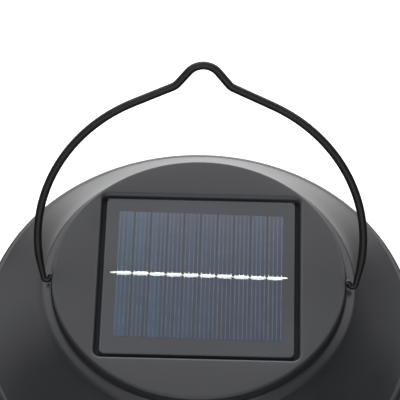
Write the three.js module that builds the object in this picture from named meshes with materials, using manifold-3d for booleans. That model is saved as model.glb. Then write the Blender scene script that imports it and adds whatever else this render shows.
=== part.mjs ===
// Hanging solar garden lantern: a wide-brimmed cap with a solar panel on top and a wire handle,
// a clear cylinder with a filament lamp inside, four posts and a round base on rubber feet.
// Millimetres, +Z up. The origin is on the ground, on the lantern's axis.
// X is the axis that the handle swings about.
import * as THREE from 'three';
import { mergeVertices } from 'three/addons/utils/BufferGeometryUtils.js';
import Module from 'manifold-3d';

const wasm = await Module();
wasm.setup();

// ---------------------------------------------------------------- driving dimensions
const DISC_TOP = 182; // height of the flat top above the ground
const SEGMENTS = 36; // facets of the large round parts
const SMALL = 10; // facets of screws, posts, bosses and holes
const MIDDLE = 20; // facets of the lamp and of other middling parts
const CLEARANCE = 0.3; // between parts that pass through each other
const SKIN = 0.03; // between flat parts that lie on each other

const DISC = { radius: 49.85, round: 1.0, foot: 0.4, thickness: 6 };
const LEAD_HOLE = { radius: 3.5, y: 22, gap: 1.6 };
const POCKET = { halfX: 34.7, halfY: 34.3, y: 0.4, corner: 3, depth: 3.9 };
const PANEL = { half: 32.5, y: 0.6, corner: 1.8, top: 1.0, laminate: 0.7, board: 1.45, pad: 0.3 };
const CELLS = { count: 10, pitch: 5.7, width: 5.5, length: 52.5, x: 0.2, y: 1.2, thickness: 0.18 };
const RIBBON = { length: 60.4, width: 1.3, thickness: 0.1 };

const CAP = {
  neck: 50.05, neckDepth: 3.7, ring: 50.3, ringDepth: 4.5, shoulder: 52.3, shoulderDepth: 5.12,
  ledge: 44, ledgeDepth: 7.1, wall: 2.2, foot: 53.3, footDepth: 5.8, crease: 72.5, creaseDepth: 26.2,
  edge: 74.85, edgeDepth: 29.1, skirtDepth: 40.3, skirtInner: 73, stepInner: 71.2, stepDepth: 36.6,
  taper: 0.4,
};
const CAP_BOSS = { ring: 65, radius: 3.4, pilot: 1.25, pilotLength: 10, cover: 0.9 };

const BAIL = {
  wire: 1.4, hinge: 1.9, lean: 33, play: 0.3, halfWidth: 54.9, rise: 52.8, centre: 14.2,
  crown: 75.5, crownRadius: 6.5, flank: 49.5, arm: 24, kink: 4.4, leg: 12,
  tail: 1.0, taperTop: 8, taperFoot: 1, elbowDepth: 4, elbow: 1.05,
  tailBend: 0.8, tailCorner: 50.55, tailEnd: 46.8,
};
const HINGE_HOLE = { gap: 0.35, inner: 46.2, outer: 51 };

const PLATE = { radius: 72.7, depth: 40, thickness: 2.2, hole: 12.9, collar: 15, collarHeight: 5 };
const LENS = { outer: 50, wall: 2, seat: 1.3, ringHeight: 3, ringWall: 1.5, ringGap: 0.4 };
const POST = { ring: 54.9, radius: 1.8, collar: 2.7, collarHeight: 1.6, thread: 6, bossRadius: 3.8 };
const BASE = { radius: 62.5, deck: 13.4, wall: 2.4, cover: 2.2, coverRadius: 59.8, step: 58.4 };
const FOOT = { radius: 6, height: 2.5, ring: 45, count: 3 };
const SWITCH = { ring: 61, angle: -65, side: 13, height: 9, button: 4, drop: 3.4, stem: 2, travel: 1.6 };
const CELL = { radius: 7.1, length: 49.5, nub: 2.6, x: 1.4, y: 26.5 };
const CRADLE = { length: 61, width: 18.4, height: 11, wall: 1.6 };
const BOARD = { length: 44, width: 22, thickness: 1.6, y: -30, standoff: 3, standoffX: 18 };
const LAMP = { holder: 12.6, bore: 10.2, flange: 16, neck: 8.6, globe: 27, wall: 1.2 };

// ---------------------------------------------------------------- derived heights
const below = (depth) => DISC_TOP - depth;
const plateBottom = below(PLATE.depth);
const plateTop = plateBottom + PLATE.thickness;
const coverTop = FOOT.height + BASE.cover;
const lensBottom = BASE.deck + LENS.seat;
const lensTop = plateBottom - LENS.seat;
const hingeHeight = below(BAIL.hinge);

// ---------------------------------------------------------------- materials
const FINISHES = {
  capPlastic: { color: 0x3d3e40, roughness: 0.45, metalness: 0 },
  bezelPlastic: { color: 0x47484a, roughness: 0.5, metalness: 0 },
  wire: { color: 0x1c1d1e, roughness: 0.35, metalness: 0.4 },
  rubber: { color: 0x1a1a1a, roughness: 0.9, metalness: 0 },
  boardBlack: { color: 0x303236, roughness: 0.6, metalness: 0 },
  silicon: { color: 0x3a4660, roughness: 0.35, metalness: 0.2 },
  ribbon: { color: 0xd9dadb, roughness: 0.35, metalness: 0.8 },
  laminate: { color: 0x5a6274, roughness: 0.15, metalness: 0 },
  clear: { color: 0xe8eef0, roughness: 0.05, metalness: 0 },
  steel: { color: 0xb8bbbe, roughness: 0.35, metalness: 0.9 },
  brass: { color: 0xb9975b, roughness: 0.35, metalness: 0.9 },
  filament: { color: 0xe8b545, roughness: 0.6, metalness: 0 },
  green: { color: 0x1f5a36, roughness: 0.5, metalness: 0 },
  cellWrap: { color: 0x2f6fb0, roughness: 0.4, metalness: 0 },
  red: { color: 0xb02020, roughness: 0.5, metalness: 0 },
  copper: { color: 0x9a5a30, roughness: 0.4, metalness: 0.7 },
};

// ---------------------------------------------------------------- helpers
const lantern = new THREE.Group();
const radians = THREE.MathUtils.degToRad;

function add(name, geometry, finish) {
  const mesh = new THREE.Mesh(geometry, new THREE.MeshStandardMaterial(FINISHES[finish]));
  mesh.name = name;
  lantern.add(mesh);
  return mesh;
}

function at(x, y, z, geometry) {
  return geometry.translate(x, y, z);
}

// A point on a ring of the given radius, at an angle in degrees from +X.
function onRing(radius, angle) {
  return { x: radius * Math.cos(radians(angle)), y: radius * Math.sin(radians(angle)) };
}

// A solid of revolution about Z. The profile is a list of [radius, height] points that starts
// and ends on the axis, or closes on itself.
function turned(profile, segments = SEGMENTS) {
  const points = profile.map(([r, z]) => new THREE.Vector2(r, z));
  return facingOut(new THREE.LatheGeometry(points, segments).rotateX(Math.PI / 2));
}

function ring(inner, outer, bottom, top, segments = SEGMENTS) {
  return turned([[inner, bottom], [outer, bottom], [outer, top], [inner, top], [inner, bottom]], segments);
}

function drum(radius, bottom, top, segments = SMALL) {
  return turned([[0, bottom], [radius, bottom], [radius, top], [0, top]], segments);
}

// Points on an elliptical arc of a profile, angles in degrees.
function arc(cx, cz, rx, rz, from, to, steps) {
  const points = [];
  for (let i = 0; i <= steps; i += 1) {
    const angle = radians(from + ((to - from) * i) / steps);
    points.push([cx + rx * Math.cos(angle), cz + rz * Math.sin(angle)]);
  }
  return points;
}

// Points on a quadratic curve of a profile.
function sweep(start, control, end, steps) {
  const curve = new THREE.QuadraticBezierCurve(
    new THREE.Vector2(...start),
    new THREE.Vector2(...control),
    new THREE.Vector2(...end),
  );
  return curve.getPoints(steps).map((point) => [point.x, point.y]);
}

// An upright slab with rounded corners, centred on x, y.
function roundedSlab(halfX, halfY, corner, bottom, top, x = 0, y = 0) {
  const outline = new THREE.Shape();
  outline.absarc(x + halfX - corner, y + halfY - corner, corner, 0, Math.PI / 2);
  outline.absarc(x - halfX + corner, y + halfY - corner, corner, Math.PI / 2, Math.PI);
  outline.absarc(x - halfX + corner, y - halfY + corner, corner, Math.PI, 1.5 * Math.PI);
  outline.absarc(x + halfX - corner, y - halfY + corner, corner, 1.5 * Math.PI, 2 * Math.PI);
  outline.closePath();
  const options = { depth: top - bottom, bevelEnabled: false, curveSegments: 4 };
  return new THREE.ExtrudeGeometry(outline, options).translate(0, 0, bottom);
}

function box(width, depth, bottom, top, x = 0, y = 0) {
  return new THREE.BoxGeometry(width, depth, top - bottom).translate(x, y, (top + bottom) / 2);
}

// A cylinder along X, from one x to another.
function rodAlongX(radius, from, to, y, z) {
  const rod = new THREE.CylinderGeometry(radius, radius, Math.abs(to - from), SMALL);
  return rod.rotateZ(Math.PI / 2).translate((from + to) / 2, y, z);
}

function tubeAlong(curve, radius, steps, sides) {
  const section = new THREE.Shape();
  section.absarc(0, 0, radius, 0, 2 * Math.PI);
  const options = { steps, extrudePath: curve, bevelEnabled: false, curveSegments: sides };
  return new THREE.ExtrudeGeometry(section, options);
}

// The geometry with equal points merged and the empty triangles of a lathe's poles dropped.
function welded(geometry) {
  const bare = geometry.clone();
  bare.deleteAttribute('normal');
  bare.deleteAttribute('uv');
  const merged = mergeVertices(bare, 1e-4);
  const kept = [];
  const index = merged.index.array;
  for (let i = 0; i < index.length; i += 3) {
    const [a, b, c] = [index[i], index[i + 1], index[i + 2]];
    if (a !== b && b !== c && c !== a) kept.push(a, b, c);
  }
  merged.setIndex(kept);
  return merged;
}

// Turns every triangle round when the solid's signed volume says that it faces inwards.
function facingOut(geometry) {
  const solid = welded(geometry);
  const index = solid.index.array;
  const place = solid.attributes.position;
  const [a, b, c] = [new THREE.Vector3(), new THREE.Vector3(), new THREE.Vector3()];
  let volume = 0;
  for (let i = 0; i < index.length; i += 3) {
    a.fromBufferAttribute(place, index[i]);
    b.fromBufferAttribute(place, index[i + 1]);
    c.fromBufferAttribute(place, index[i + 2]);
    volume += a.dot(b.cross(c));
  }
  if (volume < 0) solid.setIndex(Array.from(index).reverse());
  return solid;
}

function toSolid(geometry) {
  const source = welded(geometry);
  const mesh = new wasm.Mesh({
    numProp: 3,
    vertProperties: new Float32Array(source.attributes.position.array),
    triVerts: new Uint32Array(source.index.array),
  });
  return new wasm.Manifold(mesh);
}

function toGeometry(solid) {
  const mesh = solid.getMesh();
  const geometry = new THREE.BufferGeometry();
  geometry.setAttribute('position', new THREE.BufferAttribute(mesh.vertProperties, 3));
  geometry.setIndex(new THREE.BufferAttribute(mesh.triVerts, 1));
  return geometry;
}

function joined(first, others) {
  return toGeometry(others.reduce((sum, next) => sum.add(toSolid(next)), toSolid(first)));
}

function cut(first, tools) {
  return toGeometry(tools.reduce((rest, tool) => rest.subtract(toSolid(tool)), toSolid(first)));
}

function common(first, second) {
  return toGeometry(toSolid(first).intersect(toSolid(second)));
}

// ---------------------------------------------------------------- cap
const flareStart = [CAP.foot, below(CAP.footDepth)];
const flareEnd = [CAP.crease, below(CAP.creaseDepth)];
const flareControl = [CAP.foot + 2.2, below(CAP.footDepth + 5.6)];

// The outside of the shell: a sloping ring round the bezel, then the flare, the brim and the skirt.
function capSkinProfile() {
  const lip = CAP.edge - CAP.crease;
  const lipDrop = CAP.edgeDepth - CAP.creaseDepth;
  return [
    [CAP.neck, below(CAP.neckDepth)],
    [CAP.ring, below(CAP.ringDepth)],
    [CAP.shoulder, below(CAP.shoulderDepth)],
    ...sweep(flareStart, flareControl, flareEnd, 5),
    ...arc(CAP.crease, below(CAP.edgeDepth), lip, lipDrop, 90, 0, 3),
    [CAP.edge - CAP.taper, below(CAP.skirtDepth)],
  ];
}

// The shell is open below, and has a ledge inside the neck that the bezel rests on.
function capShell() {
  const innerFoot = [CAP.foot - 0.2, below(CAP.ledgeDepth + CAP.wall)];
  const innerControl = [CAP.foot + 2.6, below(CAP.footDepth + 7.8)];
  const innerEnd = [CAP.stepInner, below(CAP.creaseDepth + 3)];
  const inside = sweep(innerEnd, innerControl, innerFoot, 3);
  return turned([
    [CAP.neck, below(CAP.ledgeDepth)],
    ...capSkinProfile(),
    [CAP.skirtInner, below(CAP.skirtDepth)],
    [CAP.skirtInner, below(CAP.stepDepth)],
    [CAP.stepInner, below(CAP.stepDepth)],
    ...inside,
    [CAP.ledge, below(CAP.ledgeDepth + CAP.wall)],
    [CAP.ledge, below(CAP.ledgeDepth)],
    [CAP.neck, below(CAP.ledgeDepth)],
  ]);
}

// Four screw bosses grow down from the flare. Each is trimmed by the skin, so none shows outside.
function topCap() {
  const skin = capSkinProfile().map(([r, z]) => [r, z - CAP_BOSS.cover]);
  const envelope = turned([[0, skin[0][1]], ...skin, [0, skin[skin.length - 1][1]]]);
  const bosses = [];
  const pilots = [];
  for (let i = 0; i < 4; i += 1) {
    const { x, y } = onRing(CAP_BOSS.ring, 90 * i);
    const foot = plateTop + CLEARANCE;
    bosses.push(common(at(x, y, 0, drum(CAP_BOSS.radius, foot, below(10))), envelope));
    pilots.push(at(x, y, 0, drum(CAP_BOSS.pilot, foot - 1, foot + CAP_BOSS.pilotLength)));
  }
  return cut(joined(capShell(), bosses), pilots);
}

add('top_cap', topCap(), 'capPlastic');

// ---------------------------------------------------------------- bezel and solar panel
function panelBezel() {
  const { radius, round, foot, thickness } = DISC;
  const disc = turned([
    [0, below(thickness)],
    [radius - foot, below(thickness)],
    [radius, below(thickness - foot)],
    ...arc(radius - round, below(round), round, round, 0, 90, 3),
    [0, DISC_TOP],
  ]);
  const { halfX, halfY, corner, depth, y } = POCKET;
  const pocket = roundedSlab(halfX, halfY, corner, below(depth), DISC_TOP + 1, 0, y);
  const leadHole = at(0, LEAD_HOLE.y, 0, drum(LEAD_HOLE.radius, below(thickness) - 1, DISC_TOP));
  const hole = BAIL.tail + HINGE_HOLE.gap;
  const hinges = [-1, 1].map((side) => (
    rodAlongX(hole, side * HINGE_HOLE.inner, side * HINGE_HOLE.outer, 0, hingeHeight)
  ));
  return cut(disc, [pocket, leadHole, ...hinges]);
}

add('panel_bezel', panelBezel(), 'bezelPlastic');
add('bezel_seal', ring(45, 49.4, below(CAP.ledgeDepth) + SKIN, below(DISC.thickness) - SKIN), 'rubber');

const laminateBottom = below(PANEL.top + PANEL.laminate);
const ribbonTop = laminateBottom - SKIN;
const cellTop = ribbonTop - RIBBON.thickness - SKIN;
const boardTop = cellTop - CELLS.thickness - SKIN;
const boardBottom = boardTop - PANEL.board;
const padTop = boardBottom - SKIN;

const panelSlab = (bottom, top) => (
  roundedSlab(PANEL.half, PANEL.half, PANEL.corner, bottom, top, 0, PANEL.y)
);
const ribbonBottom = ribbonTop - RIBBON.thickness;
add('panel_laminate', panelSlab(laminateBottom, below(PANEL.top)), 'laminate');
add('busbar_ribbon', box(RIBBON.length, RIBBON.width, ribbonBottom, ribbonTop, 0, CELLS.y), 'ribbon');
for (let i = 0; i < CELLS.count; i += 1) {
  const x = CELLS.x + (i - (CELLS.count - 1) / 2) * CELLS.pitch;
  const strip = box(CELLS.width, CELLS.length, cellTop - CELLS.thickness, cellTop, x, CELLS.y);
  add(`cell_strip_${i + 1}`, strip, 'silicon');
}
add('panel_board', panelSlab(boardBottom, boardTop), 'boardBlack');

function adhesivePad() {
  const bottom = padTop - PANEL.pad;
  const pad = roundedSlab(30, 30, 1, bottom, padTop);
  return cut(pad, [at(0, LEAD_HOLE.y, 0, drum(LEAD_HOLE.radius + 0.5, bottom - 1, padTop + 1))]);
}
add('panel_adhesive_pad', adhesivePad(), 'rubber');

// ---------------------------------------------------------------- wire handle
const unit = (from, to) => to.clone().sub(from).normalize();

// Goes straight towards a corner and round it, on the way from the point before to the one after.
function bendAt(path, before, corner, after, radius) {
  const back = unit(corner, before);
  const ahead = unit(corner, after);
  const half = back.angleTo(ahead) / 2;
  const centre = back.clone().add(ahead).setLength(radius / Math.sin(half)).add(corner);
  const enter = back.multiplyScalar(radius / Math.tan(half)).add(corner).sub(centre);
  const leave = ahead.multiplyScalar(radius / Math.tan(half)).add(corner).sub(centre);
  path.absarc(centre.x, centre.y, radius, enter.angle(), leave.angle(), enter.cross(leave) < 0);
}

// Where the line through p along u meets the line through q along v.
function meeting(p, u, q, v) {
  const t = (q.clone().sub(p).cross(v)) / u.cross(v);
  return u.clone().multiplyScalar(t).add(p);
}

// The right half of the wire's centre line, from the crown of the hanging notch to its tail.
function halfHandle() {
  const flank = radians(BAIL.flank);
  const arm = radians(BAIL.arm);
  const crownCentre = BAIL.crown - BAIL.crownRadius;
  const armAngle = Math.atan2(BAIL.rise, BAIL.halfWidth * Math.tan(arm));
  const legAngle = radians(-BAIL.leg);
  const onArc = (angle) => new THREE.Vector2(
    BAIL.halfWidth * Math.cos(angle),
    BAIL.centre + BAIL.rise * Math.sin(angle),
  );
  const crownEnd = new THREE.Vector2(
    BAIL.crownRadius * Math.sin(flank),
    crownCentre + BAIL.crownRadius * Math.cos(flank),
  );
  const flankWay = new THREE.Vector2(Math.cos(flank), -Math.sin(flank));
  const armWay = new THREE.Vector2(Math.cos(arm), -Math.sin(arm));
  const legWay = new THREE.Vector2(BAIL.halfWidth * Math.sin(legAngle), -BAIL.rise * Math.cos(legAngle));
  const level = new THREE.Vector2(1, 0);
  const kink = meeting(crownEnd, flankWay, onArc(armAngle), armWay);
  const elbow = meeting(onArc(legAngle), legWay, new THREE.Vector2(0, -BAIL.elbowDepth), level);
  const tail = new THREE.Vector2(BAIL.tailCorner, 0);
  const end = new THREE.Vector2(BAIL.tailEnd, 0);

  const path = new THREE.Path();
  path.absarc(0, crownCentre, BAIL.crownRadius, Math.PI / 2, Math.PI / 2 - flank, true);
  bendAt(path, crownEnd, kink, onArc(armAngle), BAIL.kink);
  path.absellipse(0, BAIL.centre, BAIL.halfWidth, BAIL.rise, armAngle, legAngle, true);
  bendAt(path, onArc(legAngle), elbow, tail, BAIL.elbow);
  bendAt(path, elbow, tail, end, BAIL.tailBend);
  path.lineTo(end.x, end.y);
  return path;
}

// The wire is thinner at its tail, where it passes through the hinge hole.
function wireRadius(height) {
  const part = (height - BAIL.taperFoot) / (BAIL.taperTop - BAIL.taperFoot);
  return THREE.MathUtils.lerp(BAIL.tail, BAIL.wire, THREE.MathUtils.clamp(part, 0, 1));
}

// A round bar through points of the XZ plane, each with its own radius, and with flat ends.
function barThrough(points, sides) {
  const place = [];
  const index = [];
  points.forEach(({ x, z, radius }, i) => {
    const before = points[Math.max(i - 1, 0)];
    const after = points[Math.min(i + 1, points.length - 1)];
    const ahead = new THREE.Vector2(after.x - before.x, after.z - before.z).normalize();
    for (let k = 0; k < sides; k += 1) {
      const turn = (2 * Math.PI * k) / sides;
      const across = radius * Math.cos(turn);
      place.push(x + ahead.y * across, radius * Math.sin(turn), z - ahead.x * across);
    }
  });
  const last = (points.length - 1) * sides;
  for (let i = 0; i < last; i += sides) {
    for (let k = 0; k < sides; k += 1) {
      const next = (k + 1) % sides;
      index.push(i + k, i + next, i + sides + k);
      index.push(i + next, i + sides + next, i + sides + k);
    }
  }
  for (let k = 1; k + 1 < sides; k += 1) {
    index.push(0, k + 1, k);
    index.push(last, last + k, last + k + 1);
  }
  const bar = new THREE.BufferGeometry();
  bar.setAttribute('position', new THREE.Float32BufferAttribute(place, 3));
  bar.setIndex(index);
  return facingOut(bar);
}

// The whole wire, upright in the XZ plane: the half and its mirror image.
function bailHandle() {
  const half = halfHandle().getPoints(7);
  const right = half.map((point) => ({ x: point.x, z: point.y, radius: wireRadius(point.y) }));
  const left = right.slice(1).reverse().map((point) => ({ ...point, x: -point.x }));
  return barThrough([...left, ...right], 10);
}

const handle = add('bail_handle', bailHandle(), 'wire');
handle.position.set(BAIL.play, 0, hingeHeight);
handle.rotation.x = -radians(BAIL.lean);

// ---------------------------------------------------------------- plate under the cap
const lensRings = (bottom, top) => [
  ring(LENS.outer + LENS.ringGap, LENS.outer + LENS.ringGap + LENS.ringWall, bottom, top),
  ring(
    LENS.outer - LENS.wall - LENS.ringGap - LENS.ringWall,
    LENS.outer - LENS.wall - LENS.ringGap,
    bottom,
    top,
  ),
];

const screwHead = { radius: 2.8, height: 1.9, seat: 1.2 };

function capUnderplate() {
  const plate = ring(PLATE.hole, PLATE.radius, plateBottom, plateTop);
  const collar = ring(PLATE.hole, PLATE.collar, plateTop - 1, plateTop + PLATE.collarHeight);
  const standoffs = [-1, 1].map((side) => (
    at(side * BOARD.standoffX, BOARD.y, 0, drum(2.5, plateTop - 1, plateTop + BOARD.standoff))
  ));
  const bosses = [];
  const holes = [];
  for (let i = 0; i < 4; i += 1) {
    const post = onRing(POST.ring, 45 + 90 * i);
    const screw = onRing(CAP_BOSS.ring, 90 * i);
    const bossTop = plateBottom + POST.thread + 3.5;
    const threadHole = drum(POST.radius + CLEARANCE, plateBottom - 1, bossTop - 1.5);
    const screwHole = drum(CAP_BOSS.pilot + 0.5, plateBottom - 1, plateTop + 1);
    const headSeat = drum(screwHead.radius + CLEARANCE, plateBottom - 1, plateBottom + screwHead.seat);
    bosses.push(at(post.x, post.y, 0, drum(POST.bossRadius, plateTop - 1, bossTop)));
    holes.push(at(post.x, post.y, 0, threadHole));
    holes.push(at(screw.x, screw.y, 0, screwHole));
    holes.push(at(screw.x, screw.y, 0, headSeat));
  }
  const button = onRing(SWITCH.ring, SWITCH.angle);
  holes.push(at(button.x, button.y, 0, drum(SWITCH.button + 0.5, plateBottom - 1, plateTop + 1, MIDDLE)));
  const rings = lensRings(plateBottom - LENS.ringHeight, plateBottom + 0.5);
  return cut(joined(plate, [collar, ...standoffs, ...bosses, ...rings]), holes);
}

add('cap_underplate', capUnderplate(), 'capPlastic');
const gasketTop = below(CAP.stepDepth) - SKIN;
add('underplate_seal', ring(CAP.stepInner + 0.2, PLATE.radius - 0.2, plateTop + SKIN, gasketTop), 'rubber');

for (let i = 0; i < 4; i += 1) {
  const { x, y } = onRing(CAP_BOSS.ring, 90 * i);
  const top = plateBottom + screwHead.seat - SKIN;
  const shank = CAP_BOSS.pilot - 0.15;
  const screw = turned([
    [0, top - screwHead.height + 0.9],
    [1.1, top - screwHead.height + 0.9],
    [1.3, top - screwHead.height],
    [screwHead.radius - 0.6, top - screwHead.height],
    [screwHead.radius, top - screwHead.height + 0.7],
    [screwHead.radius, top],
    [shank, top],
    [shank, top + 9],
    [0, top + 10],
  ], SMALL);
  add(`underplate_screw_${i + 1}`, at(x, y, 0, screw), 'steel');
}

// ---------------------------------------------------------------- battery
const cradleFloor = plateTop + SKIN;
const cellHeight = cradleFloor + CRADLE.wall + CLEARANCE + CELL.radius;

function batteryCradle() {
  const tray = box(CRADLE.length, CRADLE.width, cradleFloor, cradleFloor + CRADLE.height, 0, CELL.y);
  const inside = box(
    CRADLE.length - 2 * CRADLE.wall,
    CRADLE.width - 2 * CRADLE.wall,
    cradleFloor + CRADLE.wall,
    cradleFloor + CRADLE.height + 1,
    0,
    CELL.y,
  );
  const thumbGap = box(20, CRADLE.width + 2, cradleFloor + 6, cradleFloor + CRADLE.height + 1, 0, CELL.y);
  return cut(tray, [inside, thumbGap]);
}

function batteryCell() {
  const half = CELL.length / 2;
  const profile = [
    [0, -half],
    [CELL.radius - 0.5, -half],
    [CELL.radius, -half + 0.5],
    [CELL.radius, half - 1.8],
    [CELL.radius - 0.8, half - 1.2],
    [CELL.nub, half - 1.2],
    [CELL.nub, half],
    [0, half],
  ];
  return turned(profile, MIDDLE).rotateY(Math.PI / 2).translate(CELL.x, CELL.y, cellHeight);
}

function batterySpring() {
  const left = -CRADLE.length / 2 + CRADLE.wall + 1.2;
  const right = CELL.x - CELL.length / 2 - 0.8;
  const turns = 3;
  const points = [];
  for (let i = 0; i <= turns * 10; i += 1) {
    const part = i / (turns * 10);
    const angle = 2 * Math.PI * turns * part;
    const radius = 5 - 2 * part;
    points.push(new THREE.Vector3(
      left + (right - left) * part,
      CELL.y + radius * Math.cos(angle),
      cellHeight + radius * Math.sin(angle),
    ));
  }
  return tubeAlong(new THREE.CatmullRomCurve3(points), 0.35, 30, 2);
}

const contactX = CRADLE.length / 2 - CRADLE.wall - 0.5;
add('battery_cradle', batteryCradle(), 'boardBlack');
add('battery_cell', batteryCell(), 'cellWrap');
add('battery_contact', box(0.4, 9, cellHeight - 5, cellHeight + 4, contactX, CELL.y), 'steel');
add('battery_spring', batterySpring(), 'steel');

// ---------------------------------------------------------------- circuit board
const boardBase = plateTop + BOARD.standoff + SKIN;
const boardUpper = boardBase + BOARD.thickness;
const boardFace = boardUpper + SKIN;
add('circuit_board', box(BOARD.length, BOARD.width, boardBase, boardUpper, 0, BOARD.y), 'green');
add('driver_chip', box(6, 5, boardFace, boardFace + 1.6, -4, BOARD.y - 3), 'boardBlack');
add('charge_inductor', at(8, BOARD.y - 3, 0, drum(4, boardFace, boardFace + 5, MIDDLE)), 'copper');
add('filter_capacitor', at(-15, BOARD.y + 3, 0, drum(3.1, boardFace, boardFace + 8, MIDDLE)), 'steel');

for (const [name, side, finish] of [['panel_lead_red', -1, 'red'], ['panel_lead_black', 1, 'rubber']]) {
  const route = [
    [side * LEAD_HOLE.gap, LEAD_HOLE.y, boardBottom - 0.4],
    [side * LEAD_HOLE.gap, LEAD_HOLE.y, below(8)],
    [side * 3, 18, below(14)],
    [side * 6, 2, below(19)],
    [side * 8, -16, below(24)],
    [side * 9, -23, below(30)],
    [side * 9, -24, boardFace + 0.3],
  ].map((point) => new THREE.Vector3(...point));
  add(name, tubeAlong(new THREE.CatmullRomCurve3(route), 0.6, 28, 2), finish);
}

// ---------------------------------------------------------------- switch
const switchPlace = onRing(SWITCH.ring, SWITCH.angle);
const switchBottom = plateTop + SKIN;
const buttonTop = switchBottom - SWITCH.travel - 0.3;
const buttonBottom = plateBottom - SWITCH.drop;

function switchBody() {
  const body = box(SWITCH.side, SWITCH.side, switchBottom, switchBottom + SWITCH.height);
  const bore = drum(SWITCH.stem + 0.4, switchBottom - 1, switchBottom + SWITCH.height - 1.2);
  return cut(body, [bore]).rotateZ(radians(SWITCH.angle)).translate(switchPlace.x, switchPlace.y, 0);
}

function switchButton() {
  const profile = [
    [0, buttonBottom],
    [SWITCH.button - 0.8, buttonBottom],
    [SWITCH.button, buttonBottom + 0.8],
    [SWITCH.button, buttonTop],
    [SWITCH.stem, buttonTop],
    [SWITCH.stem, switchBottom + 4],
    [0, switchBottom + 4],
  ];
  return at(switchPlace.x, switchPlace.y, 0, turned(profile, MIDDLE));
}

add('switch_body', switchBody(), 'boardBlack');
add('switch_button', switchButton(), 'rubber');

// ---------------------------------------------------------------- lamp
const holderTop = plateTop + PLATE.collarHeight + 1.5;
const holderBottom = plateBottom - 24;
const capletTop = plateBottom - 5;
const capletBottom = holderBottom - 2.5;

function lampHolder() {
  const flangeTop = plateBottom - SKIN;
  const shell = turned([
    [0, holderTop],
    [LAMP.holder, holderTop],
    [LAMP.holder, flangeTop],
    [LAMP.flange, flangeTop],
    [LAMP.flange, flangeTop - 2],
    [LAMP.holder + 1.4, flangeTop - 4],
    [LAMP.holder + 0.6, holderBottom + 2],
    [LAMP.holder - 0.2, holderBottom],
    [LAMP.bore, holderBottom],
    [LAMP.bore, capletTop + 1.5],
    [0, capletTop + 1.5],
  ], MIDDLE);
  const leadHoles = [-1, 1].map((side) => at(side * 5, 0, 0, drum(1, capletTop, holderTop + 1)));
  return cut(shell, leadHoles);
}

function bulbCap() {
  const outer = LAMP.bore - 0.3;
  const ridges = [];
  for (let i = 0; i < 4; i += 1) {
    const low = capletBottom + 4 + i * 3.4;
    ridges.push([outer, low], [outer - 0.7, low + 1.7]);
  }
  return turned([
    [LAMP.neck + 0.3, capletBottom],
    [outer, capletBottom],
    ...ridges,
    [outer, capletTop - 3.5],
    [outer - 3, capletTop - 1],
    [2.5, capletTop - 1],
    [2.5, capletTop],
    [0, capletTop],
    [0, capletTop - 2],
    [outer - 3.4, capletTop - 2],
    [LAMP.neck + 0.3, capletTop - 4.5],
    [LAMP.neck + 0.3, capletBottom],
  ], MIDDLE);
}

const globeCentre = holderBottom - 40;
const neckTop = capletTop - 6;

// A pear-shaped bulb: a ball below, drawn up into a neck that is open at its top.
function globeProfile(inset, steps) {
  const ball = LAMP.globe - inset;
  const neck = LAMP.neck - inset;
  const waist = radians(36);
  const onBall = [ball * Math.cos(waist), globeCentre + ball * Math.sin(waist)];
  const control = [neck, globeCentre + ball / Math.sin(waist) - (neck * Math.cos(waist)) / Math.sin(waist)];
  return [
    ...arc(0, globeCentre, ball, ball, -90, 36, steps),
    ...sweep(onBall, control, [neck, capletBottom], 4).slice(1),
  ];
}

function bulbGlobe() {
  const outside = globeProfile(0, 7);
  const inside = globeProfile(LAMP.wall, 7).reverse();
  return turned([...outside, [LAMP.neck, neckTop], [LAMP.neck - LAMP.wall, neckTop], ...inside], MIDDLE);
}

const mountTop = capletBottom - 10;
const mountBottom = globeCentre - 12;

function bulbStem() {
  const top = neckTop - 1;
  const neck = LAMP.neck - LAMP.wall - CLEARANCE;
  return turned([
    [0, top],
    [neck, top],
    [neck, top - 2],
    [2.6, top - 12],
    [2.2, mountTop + 1.4],
    [6.5, mountTop + 1.4],
    [6.5, mountTop],
    [0.8, mountTop],
    [0.8, mountBottom],
    [9.8, mountBottom],
    [9.8, mountBottom - 1],
    [0, mountBottom - 1],
  ], SMALL);
}

add('lamp_holder', lampHolder(), 'capPlastic');
add('bulb_cap', bulbCap(), 'brass');
add('bulb_globe', bulbGlobe(), 'clear');
add('bulb_stem', bulbStem(), 'clear');
for (let i = 0; i < 4; i += 1) {
  const turn = 45 + 90 * i;
  const high = onRing(5.6, turn);
  const low = onRing(8.8, turn);
  const line = new THREE.LineCurve3(
    new THREE.Vector3(high.x, high.y, mountTop - 1),
    new THREE.Vector3(low.x, low.y, mountBottom + 1),
  );
  add(`led_filament_${i + 1}`, tubeAlong(line, 0.8, 1, 2), 'filament');
}

// ---------------------------------------------------------------- clear cylinder and posts
add('lens_tube', ring(LENS.outer - LENS.wall, LENS.outer, lensBottom, lensTop), 'clear');
const sealInner = LENS.outer - LENS.wall - 0.1;
const sealOuter = LENS.outer + 0.1;
add('lens_seal_top', ring(sealInner, sealOuter, lensTop + SKIN, plateBottom - SKIN), 'rubber');
add('lens_seal_bottom', ring(sealInner, sealOuter, BASE.deck + SKIN, lensBottom - SKIN), 'rubber');

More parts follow.
